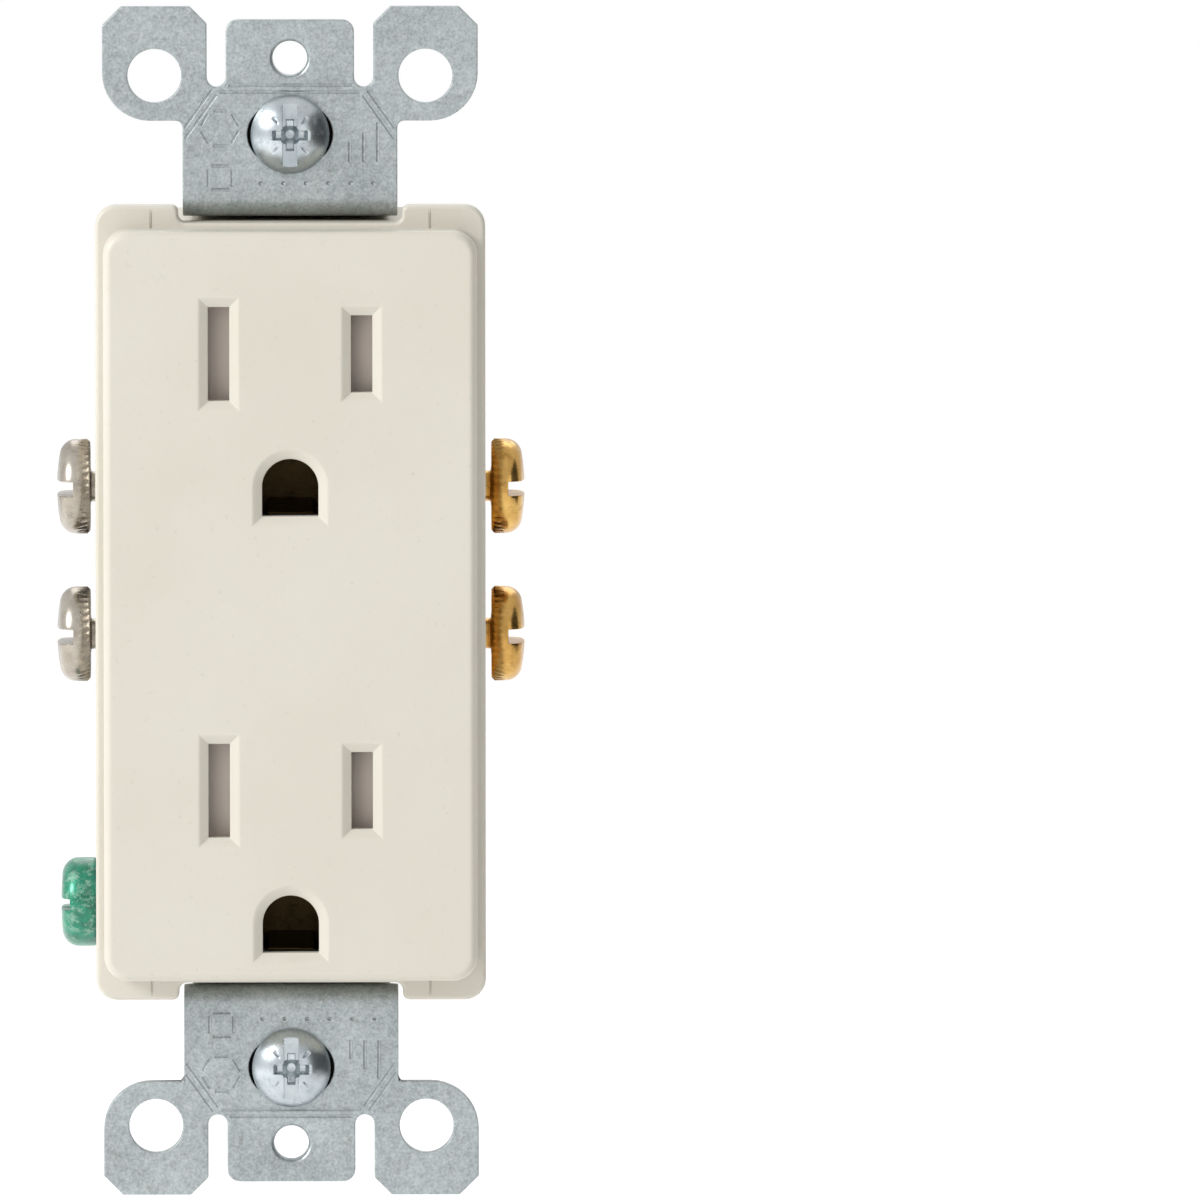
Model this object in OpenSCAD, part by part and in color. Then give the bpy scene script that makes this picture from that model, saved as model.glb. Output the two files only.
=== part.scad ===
// Duplex wall outlet with a rectangular face, tamper-resistant shutters and a wrap-around strap.
// The front faces -Y, +X is to the right and +Z is up. The origin lies on the strap's rear
// face, midway between the two wall plate screw holes.

/* [Strap] */
// Overall length of the strap over its ears
strap_len = 106.1; // [106:0.1:128]
// Thickness of the strap's steel
strap_t = 1.25; // [1:0.05:1.6]
// Width of the strap's plate
strap_w = 19.1; // [18:0.1:20]
// Width of the legs that go back along the housing's ends
leg_w = 17.6; // [15:0.1:18]
// Width of the strap behind the housing
back_w = 15.2; // [12:0.1:15.6]
// Width over the break-off ears
ears_w = 33.4; // [33:0.1:41]
// Inside radius of the strap's bends
bend_r = 0.4; // [0.3:0.05:0.8]
// Gap between the housing's end and the strap's leg
leg_gap = 0.4; // [0.2:0.05:0.6]

/* [Strap holes] */
// Distance between the wall plate screw holes
plate_screw_dz = 96.84; // [96:0.01:98]
// Diameter of the wall plate screw holes
plate_hole_d = 3.1; // [2.6:0.05:3.6]
// Height of the drawn collar behind a wall plate screw hole
collar_h = 0.9; // [0.5:0.1:1.6]
// Distance between the box mounting screws
box_screw_dz = 83.34; // [82:0.01:84]
// End-to-end length of a mounting screw slot
slot_len = 7.6; // [6:0.1:9]
// Height of a mounting screw slot
slot_h = 4.9; // [4:0.1:5.2]
// Side-to-side distance between the ear holes
ear_hole_dx = 24.1; // [23:0.05:25]
// Up-and-down distance between the ear holes
ear_hole_dz = 93.74; // [93:0.02:95]
// Diameter of the ear holes
ear_hole_d = 4.8; // [4:0.1:5.6]
// Width of the centre tab
tab_w = 11.4; // [9:0.1:12]
// Width of the notch between the centre tab and an ear
notch_w = 1.7; // [1.2:0.1:2]
// Depth of a break-off score line
score_depth = 0.35; // [0.2:0.05:0.4]

/* [Face] */
// Width of the face
face_w = 33.2; // [32:0.1:34.4]
// Height of the face
face_h = 66.8; // [66:0.1:67.4]
// Distance the face stands in front of the strap
face_proud = 6.35; // [5.4:0.05:7.6]
// Wall thickness of the face
face_wall = 1.9; // [1.5:0.1:2.3]
// Corner radius of the face
face_corner_r = 2.2; // [1:0.1:3]
// Width of the bevel around the face
face_edge = 0.7; // [0.3:0.1:1]
// Width of the flange behind the face
flange_w = 34.7; // [34.4:0.1:36]
// Height of the flange behind the face
flange_h = 70.9; // [70:0.1:72]
// Distance the flange stands in front of the strap
flange_proud = 1.85; // [1:0.05:2.4]
// Thickness of the flange
flange_t = 2.2; // [1.4:0.1:2.6]
// Side gap between the strap and its notch in the flange
strap_side_gap = 0.4; // [0.2:0.05:0.6]

/* [Outlets] */
// Distance between the two outlets
outlet_pitch = 38.9; // [38:0.05:39]
// Distance between the two blade slots
blade_dx = 12.7; // [12:0.05:13.4]
// Height of the blade slots above the outlet's centre
blade_up = 3.05; // [2.8:0.05:3.3]
// Distance from the blade slots down to the ground hole
blade_to_ground = 11.85; // [11.6:0.05:12]
// Width of a blade slot
blade_slot_w = 1.9; // [1.7:0.05:2.2]
// Height of the neutral blade slot
neutral_slot_h = 8.35; // [7.6:0.05:8.8]
// Height of the hot blade slot
hot_slot_h = 6.85; // [6:0.05:8]
// Width of the ground hole
ground_w = 5; // [4.9:0.05:5.2]
// Distance from the ground hole's arc centre down to its flat side
ground_flat = 2.6; // [2.5:0.05:2.7]
// Width of the lead-in around the holes
lead_in = 0.8; // [0.4:0.1:1]

/* [Housing] */
// Width of the rear housing
housing_w = 33.2; // [33:0.1:34]
// Height of the rear housing
housing_h = 67.8; // [67.4:0.1:68.4]
// Depth of the rear housing behind the strap's plane
housing_depth = 18.5; // [18:0.1:24]
// Side wall thickness of the rear housing
housing_wall = 1.6; // [1.2:0.1:1.8]
// Floor thickness of the rear housing
floor_t = 2; // [1.6:0.1:2.6]

/* [Terminals] */
// Distance between the two terminal screws on a side
terminal_pitch = 13.2; // [12.4:0.1:16]
// Height of the middle of a side's terminal screws
terminal_mid_z = 3.1; // [2.6:0.1:3.6]
// Depth of the terminal screws' axes behind the strap's plane
terminal_y = 7; // [6:0.1:7.2]
// Thickness of the contact strips' terminal plates
terminal_t = 0.8; // [0.6:0.05:1]
// Thickness of the contact leaves
leaf_t = 0.6; // [0.4:0.05:0.7]
// Head diameter of the terminal screws
terminal_head_d = 8.45; // [7:0.05:9]
// Head height of the terminal screws
terminal_head_h = 3; // [2.4:0.1:3.4]
// Thread showing between a terminal plate and its screw's head
terminal_open = 0.9; // [0.4:0.05:1.6]
// Diameter of the push-in wire holes
wire_hole_d = 2.2; // [1.8:0.05:2.4]
// Height of the ground screw's axis
ground_screw_z = -27.6; // [-27.9:0.1:-27]
// Depth of the ground screw's axis behind the strap's plane
ground_screw_y = 8; // [7:0.1:9]
// Head diameter of the ground screw
ground_head_d = 7.95; // [7:0.05:8.2]
// Head height of the ground screw
ground_head_h = 3.4; // [2.6:0.1:3.6]

/* [Screws] */
// Thread diameter of the mounting and terminal screws
screw_d = 3.5; // [3:0.05:4]
// Radial clearance of a screw in the hole that it turns in
screw_clear = 0.06; // [0.03:0.01:0.09]
// Diameter of a mounting screw's neck in the strap
neck_d = 3.1; // [2.6:0.05:3.1]
// Length of a mounting screw under its head
mount_screw_len = 19; // [16:0.5:26]
// Head diameter of the mounting screws
mount_head_d = 7; // [6.4:0.1:8]
// Head height of the mounting screws
mount_head_h = 2.1; // [1.6:0.1:2.6]
// Diameter of the assembly screws
tap_screw_d = 2.2; // [1.8:0.1:2.4]
// Head diameter of the assembly screws
tap_head_d = 4; // [3.2:0.1:4.2]

/* [Shutters] */
// Travel of a shutter
shutter_travel = 2.9; // [2.6:0.05:3.1]
// Thickness of a shutter
shutter_t = 2.5; // [2:0.05:2.6]
// Wire diameter of a shutter spring
spring_wire_d = 0.3; // [0.2:0.05:0.4]
// Outside diameter of a shutter spring
spring_d = 2.2; // [1.6:0.1:2.3]

/* [Hidden] */
$fn = 64;
eps = 0.01;

// Colours
almond = [0.87, 0.85, 0.79];
shutter_grey = [0.56, 0.52, 0.49];
steel = [0.7, 0.73, 0.74];
nickel = [0.75, 0.73, 0.7];
brass = [0.8, 0.63, 0.3];
green = [0.1, 0.5, 0.4];

// Levels along Y, from the front to the back
face_y = -strap_t - face_proud;
face_in = face_y + face_wall;
flange_y = -strap_t - flange_proud;
housing_y = flange_y + flange_t;
floor_y = housing_depth - floor_t;
back_gap = 0.1;
back_y = housing_depth + back_gap;

// Heights
row_z = [outlet_pitch/2 + blade_up, -outlet_pitch/2 + blade_up];
terminal_z = [terminal_mid_z + terminal_pitch/2, terminal_mid_z - terminal_pitch/2];
bend_out = bend_r + strap_t;
leg_z = housing_h/2 + leg_gap;
plate_z = leg_z + bend_out;

// Ears and centre tab
ear_x = ear_hole_dx/2;
ear_z = ear_hole_dz/2;
ear_in = tab_w/2 + notch_w;
ear_low = ear_z - 4;
ear_corner_r = 4.25;
ear_chamfer_out = 1.7;
ear_chamfer_in = 1.55;
tab_top = plate_screw_dz/2 + 3.45;
tab_corner_r = 1.1;
notch_low = ear_z - 1;
web_fillet_r = 0.6;

// Ground tab of the strap
tab_out = housing_w/2 + 0.5;
tab_half = 4.2;
arm_z = [ground_screw_z - 0.4, ground_screw_z + 5.4];
recess_x = tab_out - strap_t - 0.25;

// Assembly screws
post_x = 10.3;
post_z = housing_h/2 - 3.3;
post_r = tap_screw_d/2 + 1;
post_face_y = 1;
counterbore_y = floor_y - 0.7;
boss_clear = 0.02;

// Contacts
plate_x = housing_w/2 + 0.4;
web_y = housing_depth - 6.5;
web_t = 0.8;
leaf_gap = 1.2;
leaf_front = -0.6;
jaw_half = 3.4;
break_gap = 2;
inner_x = housing_w/2 - housing_wall;
web_out = inner_x - 0.2;
web_in = blade_dx/2 - leaf_gap/2 - leaf_t;
web_over = jaw_half + 0.3;
terminal_half = terminal_pitch/2 - break_gap/2;
wire_half = 2.3;
wire_x = plate_x - 3.3;
hook_x = wire_x + wire_hole_d/2 + 0.1;
barrier_x = web_in - 0.35;
barrier_t = 0.9;
ground_strip_half = barrier_x - barrier_t - 0.3;
ground_pin_half = 2.7;
ground_front = -2.9;
rivet_z = [1, -10];

// Shutters
tray_half_x = 13;
tray_wall = 0.8;
tray_low = 8.1;
tray_high = 5.6;
tray_y = face_in + 0.2;
tray_floor_y = tray_y + shutter_t + 0.45;
shutter_y = tray_y + 0.2;
shutter_x = [-tray_half_x + tray_wall + 0.4, blade_dx/2 + 2.05];
window_w = blade_slot_w + 0.7;
window_h = neutral_slot_h + 0.65;
spring_low = tray_low - tray_wall - 0.1 - spring_d/2;
spring_x = [0.4, tray_half_x - tray_wall];

// A 2D rectangle with round corners
module rounded(w, h, r) {
    square([w - 2*r, h], center = true);
    square([w, h - 2*r], center = true);
    for (x = [-1, 1], z = [-1, 1])
        translate([x*(w/2 - r), z*(h/2 - r)])
            circle(r = r);
}

// Extrudes a 2D shape drawn in X and Z, from y0 back to y1
module slab(y0, y1) {
    translate([0, y1, 0])
        rotate([90, 0, 0])
            linear_extrude(y1 - y0)
                children();
}

// A box from its lowest to its highest corner
module block(low, high) {
    translate(low)
        cube(high - low);
}

// A round bar along Y at x, z
module bar_y(x, z, r, y0, y1) {
    translate([x, y0, z])
        rotate([-90, 0, 0])
            cylinder(r = r, h = y1 - y0);
}

// A 2D strip of even thickness along a path, with round joints
module strip_path(points, t) {
    for (i = [0:len(points) - 2]) {
        step = points[i + 1] - points[i];
        translate(points[i])
            rotate(atan2(step.y, step.x))
                translate([0, -t/2])
                    square([norm(step), t]);
    }
    for (i = [1:len(points) - 2])
        translate(points[i])
            circle(d = t);
}

// The outline of a ground hole: round above, flat below
module ground_outline(grow) {
    r = ground_w/2 + grow;
    circle(r = r);
    translate([-r, -ground_flat - grow])
        square([2*r, ground_flat + grow]);
}

// A four-sided funnel along Y, from size wide at y0 down to size narrow at y1
module funnel(wide, narrow, y0, y1) {
    corner = [[-1, -1], [1, -1], [1, 1], [-1, 1]]/2;
    polyhedron(
        points = concat(
            [for (c = corner) [c.x*wide.x, y0, c.y*wide.y]],
            [for (c = corner) [c.x*narrow.x, y1, c.y*narrow.y]]),
        faces = [[0, 1, 2, 3], [7, 6, 5, 4], [0, 4, 5, 1], [1, 5, 6, 2], [2, 6, 7, 3], [3, 7, 4, 0]]);
}

module blade_slots(y0, y1, grow) {
    for (z = row_z, side = [-1, 1]) {
        h = side < 0 ? neutral_slot_h : hot_slot_h;
        block([side*blade_dx/2 - blade_slot_w/2 - grow, y0, z - h/2 - grow],
            [side*blade_dx/2 + blade_slot_w/2 + grow, y1, z + h/2 + grow]);
    }
}

// Front cover: face, flange and the bosses that the assembly screws bite into
module front_cover() {
    color(almond)
        difference() {
            union() {
                hull() {
                    slab(face_y, face_y + 0.1)
                        rounded(face_w - 2*face_edge, face_h - 2*face_edge, face_corner_r - face_edge/2);
                    slab(face_y + face_edge, flange_y + 0.1)
                        rounded(face_w, face_h, face_corner_r);
                }
                slab(flange_y, housing_y)
                    difference() {
                        rounded(flange_w, flange_h, 1.9);
                        for (z = [-1, 1])
                            translate([0, z*(housing_h/2 + 5)])
                                square([strap_w + 2*strap_side_gap, 10], center = true);
                    }
            }
            difference() {
                slab(face_in, housing_y + eps)
                    rounded(face_w - 2*face_wall, face_h - 2*face_wall, 1);
                for (x = [-1, 1], z = [-1, 1])
                    bar_y(x*post_x, z*post_z, post_r, face_in - eps, housing_y + 1);
                for (z = row_z)
                    translate([0, 0, z - blade_to_ground])
                        slab(face_in - eps, ground_front - 0.4)
                            ground_outline(0.9);
            }
            blade_slots(face_y - 1, face_in + 1, 0);
            for (z = row_z) {
                for (side = [-1, 1])
                    translate([side*blade_dx/2, 0, z])
                        lead_in_slot(side < 0 ? neutral_slot_h : hot_slot_h);
                translate([0, 0, z - blade_to_ground]) {
                    slab(face_y - 1, face_in + 4)
                        ground_outline(0);
                    lead_in_ground();
                }
            }
            for (x = [-1, 1], z = [-1, 1])
                bar_y(x*post_x, z*post_z, tap_screw_d/2 + boss_clear, face_in + 1, post_face_y + 1);
        }
    color(almond)
        for (x = [-1, 1], z = [-1, 1])
            difference() {
                intersection() {
                    bar_y(x*post_x, z*post_z, post_r, housing_y - 0.5, post_face_y - 0.1);
                    block([-inner_x, housing_y - 1, -housing_h/2 + housing_wall + 0.05],
                        [inner_x, post_face_y, housing_h/2 - housing_wall - 0.05]);
                }
                bar_y(x*post_x, z*post_z, tap_screw_d/2 + boss_clear, face_in, post_face_y + 1);
            }
}

module lead_in_slot(h) {
    size = [blade_slot_w, h];
    funnel(size + 2*[lead_in, lead_in], size, face_y - eps, face_y + lead_in*0.6);
}

// The lead-in of a ground hole: a cone above, a sloped funnel below
module lead_in_ground() {
    r = ground_w/2;
    size = [ground_w, ground_flat];
    translate([0, face_y - eps, 0])
        rotate([-90, 0, 0])
            cylinder(r1 = r + lead_in, r2 = r, h = lead_in*0.6 + eps);
    translate([0, 0, -ground_flat/2])
        funnel(size + 2*[lead_in, lead_in], size, face_y - eps, face_y + lead_in*0.6);
}

// Rear housing: the tub that holds the contacts
module rear_housing() {
    color(almond)
        difference() {
            union() {
                difference() {
                    slab(housing_y, housing_depth)
                        rounded(housing_w, housing_h, 1.2);
                    slab(housing_y - eps, floor_y)
                        rounded(2*inner_x, housing_h - 2*housing_wall, 0.8);
                }
                // Inner skin behind the ground tab's recess
                block([-inner_x - eps, housing_y, ground_screw_z - tab_half - 1.6],
                    [-recess_x + housing_wall, floor_y + eps, arm_z[1] + 1.6]);
                for (x = [-1, 1]) {
                    block([x*(barrier_x - barrier_t/2) - barrier_t/2, 0.6, -housing_h/2 + 2.4],
                        [x*(barrier_x - barrier_t/2) + barrier_t/2, floor_y + eps, row_z[0] - jaw_half - 4]);
                    for (z = [-1, 1]) {
                        bar_y(x*post_x, z*post_z, post_r, post_face_y, floor_y + eps);
                        bar_y(x*post_x, z*post_z, tap_head_d/2 + 0.9, counterbore_y - 1.2, floor_y + eps);
                    }
                }
            }
            // Openings in the side walls for the terminal plates
            for (x = [-1, 1])
                block([x*(housing_w/2 + 1) - 2.7, housing_y - 1, terminal_mid_z - terminal_pitch/2 - terminal_half - 0.2],
                    [x*(housing_w/2 + 1) + 2.7, web_y + web_t + 0.1,
                        terminal_mid_z + terminal_pitch/2 + terminal_half + 0.2]);
            // Recess and screw clearance for the ground tab
            block([-housing_w, ground_screw_y - tab_half - 1, ground_screw_z - tab_half - 0.3],
                [-recess_x, housing_depth + 1, arm_z[1] + 0.3]);
            translate([-housing_w/2, ground_screw_y, ground_screw_z])
                rotate([0, 90, 0])
                    cylinder(r = screw_d/2 + 0.4, h = 6);
            for (x = [-1, 1], z = [-1, 1]) {
                bar_y(x*post_x, z*post_z, tap_screw_d/2 + 0.2, 0, housing_depth);
                bar_y(x*post_x, z*post_z, tap_head_d/2 + 0.3, counterbore_y, housing_depth + 1);
            }
            for (z = rivet_z)
                bar_y(0, z, 1.6, floor_y - 1, housing_depth + 1);
            for (x = [-1, 1], z = terminal_z)
                bar_y(x*wire_x, z, wire_hole_d/2, floor_y - 1, housing_depth + 1);
        }
}

// Points on an arc, from angle a0 to a1
function arc(centre, r, a0, a1, steps = 10) =
    [for (i = [0:steps]) let (a = a0 + (a1 - a0)*i/steps) centre + r*[cos(a), sin(a)]];

// The right half of a strap end's outline: plate, fillet, ear, notch and centre tab
function strap_end_points() =
    let (top = strap_len/2, out = ears_w/2)
        concat(
            [[strap_w/2, plate_z]],
            arc([strap_w/2 + web_fillet_r, ear_low - web_fillet_r], web_fillet_r, 180, 90),
            arc([out - ear_corner_r, ear_low + ear_corner_r], ear_corner_r, -90, 0),
            [[out, top - ear_chamfer_out], [out - ear_chamfer_out, top],
                [ear_in + ear_chamfer_in, top], [ear_in, top - ear_chamfer_in]],
            arc([(tab_w + notch_w)/2, notch_low + notch_w/2], notch_w/2, 0, -180),
            arc([tab_w/2 - tab_corner_r, tab_top - tab_corner_r], tab_corner_r, 0, 90));

// The flat plate of one strap end with its holes
module strap_end_plate() {
    half = strap_end_points();
    last = len(half) - 1;
    slot_x = (slot_len - slot_h)/2;
    difference() {
        slab(-strap_t, 0)
            polygon(concat(half, [for (i = [last:-1:0]) [-half[i].x, half[i].y]]));
        bar_y(0, plate_screw_dz/2, plate_hole_d/2, -strap_t - 1, 1);
        for (x = [-1, 1]) {
            bar_y(x*ear_x, ear_z, ear_hole_d/2, -strap_t - 1, 1);
            bar_y(x*slot_x, box_screw_dz/2, slot_h/2, -strap_t - 1, 1);
        }
        block([-slot_x, -strap_t - 1, (box_screw_dz - slot_h)/2], [slot_x, 1, (box_screw_dz + slot_h)/2]);
        score_lines();
    }
}

// V grooves across a strap end, on its front and its rear, where the ears and the tab break off
module score_lines() {
    corner_x = tab_w/2 + notch_w/2;
    edge_x = strap_w/2;
    edge_z = ear_low - web_fillet_r - 0.6;
    run = [edge_x - corner_x, edge_z - notch_low];
    for (y = [-strap_t, 0]) {
        translate([0, y, notch_low - 0.15])
            groove(tab_w + notch_w);
        for (x = [-1, 1])
            translate([x*(corner_x + edge_x)/2, y, (notch_low + edge_z)/2])
                rotate([0, -x*atan2(run.y, run.x), 0])
                    groove(norm(run) + 1.6);
    }
}

module groove(length) {
    side = score_depth*sqrt(2);
    rotate([45, 0, 0])
        cube([length, side, side], center = true);
}

// A quarter ring of strap about X, from -Z round to -Y
module strap_bend(w) {
    mirror([0, 1, 0])
        rotate([0, 90, 0])
            translate([0, 0, -w/2])
                rotate_extrude(angle = 90)
                    translate([bend_r, 0])
                        square([strap_t, w]);
}

module strap_end() {
    strap_end_plate();
    difference() {
        bar_y(0, plate_screw_dz/2, plate_hole_d/2 + 0.6, -eps, collar_h);
        bar_y(0, plate_screw_dz/2, plate_hole_d/2, -1, collar_h + 1);
    }
    translate([0, bend_r, plate_z])
        strap_bend(strap_w);
    block([-leg_w/2, bend_r, leg_z], [leg_w/2, back_y - bend_r, leg_z + strap_t]);
    translate([0, back_y - bend_r, leg_z - bend_r])
        mirror([0, 1, 0])
            mirror([0, 0, 1])
                strap_bend(leg_w);
    block([-leg_w/2, back_y, leg_z - bend_r - 2.2], [leg_w/2, back_y + strap_t, leg_z - bend_r]);
}

// Mounting strap, with the ground tab that comes forward at the lower left
module mounting_strap() {
    color(steel)
        difference() {
            union() {
                for (m = [0, 1])
                    mirror([0, 0, m])
                        strap_end();
                block([-back_w/2, back_y, -leg_z + bend_r], [back_w/2, back_y + strap_t, leg_z - bend_r]);
                block([-tab_out + bend_out, back_y, arm_z[0]], [0, back_y + strap_t, arm_z[1]]);
                translate([-tab_out + bend_out, back_y - bend_r, arm_z[0]])
                    rotate([0, 0, 90])
                        rotate_extrude(angle = 90)
                            translate([bend_r, 0])
                                square([strap_t, arm_z[1] - arm_z[0]]);
                difference() {
                    block([-tab_out, ground_screw_y - tab_half, ground_screw_z - tab_half],
                        [-tab_out + strap_t, back_y - bend_r, arm_z[1]]);
                    block([-tab_out - 1, ground_screw_y + tab_half, ground_screw_z - tab_half - 1],
                        [-tab_out + strap_t + 1, back_y, arm_z[0]]);
                }
            }
            translate([-tab_out - 1, ground_screw_y, ground_screw_z])
                rotate([0, 90, 0])
                    cylinder(r = screw_d/2 + screw_clear, h = strap_t + 2);
            for (z = rivet_z)
                bar_y(0, z, 1.6, back_y - 1, back_y + strap_t + 1);
        }
}

// One blade's pair of contact leaves, for the right-hand side
module blade_jaw(z) {
    translate([0, 0, z - jaw_half])
        linear_extrude(2*jaw_half)
            for (side = [-1, 1])
                translate([blade_dx/2, 0])
                    strip_path([
                        [side*(leaf_gap + leaf_t)/2, web_y + web_t/2],
                        [side*(leaf_gap + leaf_t)/2, 1.4],
                        [side*((leaf_gap + leaf_t)/2 + 0.5), leaf_front]], leaf_t);
}

// A contact strip for the right-hand side: two halves joined by a break-off tab
module contact_strip() {
    difference() {
        union() {
            for (i = [0, 1]) {
                up = 1 - 2*i;
                z0 = terminal_z[i] - terminal_half;
                z1 = terminal_z[i] + terminal_half;
                row_end = row_z[i] + up*web_over;
                near = i == 0 ? z1 : z0;
                block([plate_x - terminal_t, housing_y + 0.3, z0], [plate_x, web_y + web_t, z1]);
                block([web_in, web_y, min(near, near - up*(terminal_half - wire_half - 0.2))],
                    [plate_x, web_y + web_t, max(near, near - up*(terminal_half - wire_half - 0.2))]);
                block([web_in, web_y, min(near - up*eps, row_end)],
                    [web_out, web_y + web_t, max(near - up*eps, row_end)]);
                block([hook_x, web_y, terminal_z[i] - wire_half], [plate_x, web_y + web_t, terminal_z[i] + wire_half]);
                block([hook_x, terminal_y + screw_d/2 + 0.5, terminal_z[i] - wire_half],
                    [hook_x + leaf_t, web_y + eps, terminal_z[i] + wire_half]);
                blade_jaw(row_z[i]);
            }
            block([plate_x - terminal_t, 1.6, terminal_mid_z - break_gap/2 - eps],
                [plate_x, 4.4, terminal_mid_z + break_gap/2 + eps]);
        }
        for (z = terminal_z)
            translate([plate_x - 2, terminal_y, z])
                rotate([0, 90, 0])
                    cylinder(r = screw_d/2 + screw_clear, h = 4);
        // Thin necks at both ends of the break-off tab
        for (side = [-1, 1])
            translate([plate_x, 3, terminal_mid_z + side*break_gap/2])
                rotate([0, 45, 0])
                    cube([0.4, 4, 0.4], center = true);
    }
}

module hot_contact_strip() {
    color(brass)
        contact_strip();
}

module neutral_contact_strip() {
    color(nickel)
        mirror([1, 0, 0])
            contact_strip();
}

// Ground strip: one bar along the floor, with a three-sided jaw behind each ground hole
module ground_contact_strip() {
    color(brass)
        difference() {
            union() {
                block([-ground_strip_half, floor_y - web_t, row_z[1] - blade_to_ground - ground_flat - 1],
                    [ground_strip_half, floor_y, row_z[0] - blade_to_ground + 3]);
                for (z = row_z)
                    translate([0, 0, z - blade_to_ground]) {
                        for (x = [-1, 1])
                            block([x*(ground_pin_half + leaf_t/2) - leaf_t/2, ground_front + 0.4, -2.6],
                                [x*(ground_pin_half + leaf_t/2) + leaf_t/2, floor_y - web_t + eps, 2.2]);
                        block([-2, ground_front, -ground_flat - 0.02 - leaf_t],
                            [2, floor_y - web_t + eps, -ground_flat - 0.02]);
                    }
            }
            for (z = rivet_z)
                bar_y(0, z, 1.6, floor_y - web_t - 1, floor_y + 1);
        }
}

// A rivet through the ground strip, the housing's floor and the strap
module ground_rivet(z) {
    head_h = 0.8;
    color(steel) {
        bar_y(0, z, 1.58, floor_y - web_t - head_h, back_y + strap_t + head_h);
        for (y = [floor_y - web_t - head_h, back_y + strap_t])
            bar_y(0, z, 2.6, y, y + head_h);
    }
}

// A shutter: windows beside the slots, and ramps that a pair of blades pushes on
module shutter(z) {
    y1 = shutter_y + shutter_t;
    color(shutter_grey)
        difference() {
            block([shutter_x[0], shutter_y, z - tray_low + tray_wall + 0.2],
                [shutter_x[1], y1, z + tray_high - tray_wall - 0.2]);
            for (side = [-1, 1]) {
                window_x = side*blade_dx/2 - shutter_travel;
                block([window_x - window_w/2, shutter_y - 1, z - window_h/2],
                    [window_x + window_w/2, y1 + 1, z + window_h/2]);
                translate([window_x + window_w/2 - eps, 0, z - window_h/2])
                    linear_extrude(window_h)
                        polygon([[0, shutter_y - 1], [0, y1 - 0.8], [3, shutter_y], [3, shutter_y - 1]]);
            }
            // Step that the spring lies in
            block([spring_x[0], shutter_y - 1, z - tray_low], [shutter_x[1] + 1, y1 + 1, z - spring_low + spring_d/2 + 0.2]);
        }
}

// The tray that carries a shutter behind the face
module shutter_tray(z) {
    low = z - tray_low;
    high = z + tray_high;
    color(shutter_grey)
        difference() {
            block([-tray_half_x, tray_y, low], [tray_half_x, tray_floor_y + tray_wall, high]);
            block([-tray_half_x + tray_wall, tray_y - 1, low + tray_wall],
                [tray_half_x - tray_wall, tray_floor_y, high - tray_wall]);
            for (side = [-1, 1])
                block([side*blade_dx/2 - window_w/2, tray_floor_y - 1, z - window_h/2],
                    [side*blade_dx/2 + window_w/2, tray_floor_y + 2, z + window_h/2]);
        }
}

// A coil spring along X, swept as a tube
module coil_spring(x0, x1, d, wire, turns) {
    ring = 6;
    steps = turns*14;
    r = (d - wire)/2;
    length = x1 - x0 - wire;
    points = [for (i = [0:steps], k = [0:ring - 1])
        let (a = 360*turns*i/steps, b = 360*k/ring, rr = r + wire/2*cos(b))
            [x0 + wire/2 + length*i/steps + wire/2*sin(b), rr*cos(a), rr*sin(a)]];
    sides = [for (i = [0:steps - 1], k = [0:ring - 1])
        let (a = i*ring + k, b = i*ring + (k + 1) % ring)
            [a, b, b + ring, a + ring]];
    start = [for (k = [ring - 1:-1:0]) k];
    end = [for (k = [0:ring - 1]) steps*ring + k];
    polyhedron(points = points, faces = concat([start], sides, [end]), convexity = 6);
}

module shutter_spring(z) {
    color(steel)
        translate([0, shutter_y + shutter_t/2, z - spring_low])
            coil_spring(spring_x[0] + 0.03, spring_x[1] - 0.03, spring_d, spring_wire_d, 8);
}

// A slotted screw along Z: its domed head sits on z = 0 and its shank goes down
module slotted_screw(head_d, head_h, crown, shank_len, slot_w, slot_depth) {
    ball_r = (head_d*head_d/4 + crown*crown)/(2*crown);
    difference() {
        union() {
            intersection() {
                cylinder(d = head_d, h = head_h);
                translate([0, 0, head_h - ball_r])
                    sphere(r = ball_r);
            }
            translate([0, 0, -shank_len])
                cylinder(d = screw_d, h = shank_len + eps);
        }
        translate([-head_d, -slot_w/2, head_h - slot_depth])
            cube([2*head_d, slot_w, slot_depth + 1]);
    }
}

// A terminal screw, at side -1 or 1, backed off so that its thread shows
module terminal_screw(side, z) {
    translate([side*(plate_x + terminal_open), terminal_y, z])
        rotate([0, side*90, 0])
            rotate([0, 0, 90])
                slotted_screw(terminal_head_d, terminal_head_h, 1.4, 6.4, 1.27, 1.47);
}

// The ground screw: a round, slotted drum head
module ground_screw() {
    color(green)
        translate([-tab_out - 0.1, ground_screw_y, ground_screw_z])
            rotate([0, -90, 0])
                slotted_screw(ground_head_d, ground_head_h, 1.5, 4, 1, 0.8);
}

// A mounting screw's levels along its own axis, from the seat of its head down
mount_neck = strap_t + 2.2;
mount_tip = 0.8;

module mounting_screw_at(z) {
    color(nickel)
        translate([0, -strap_t - 0.1, z])
            rotate([90, 0, 0])
                children();
}

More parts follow.
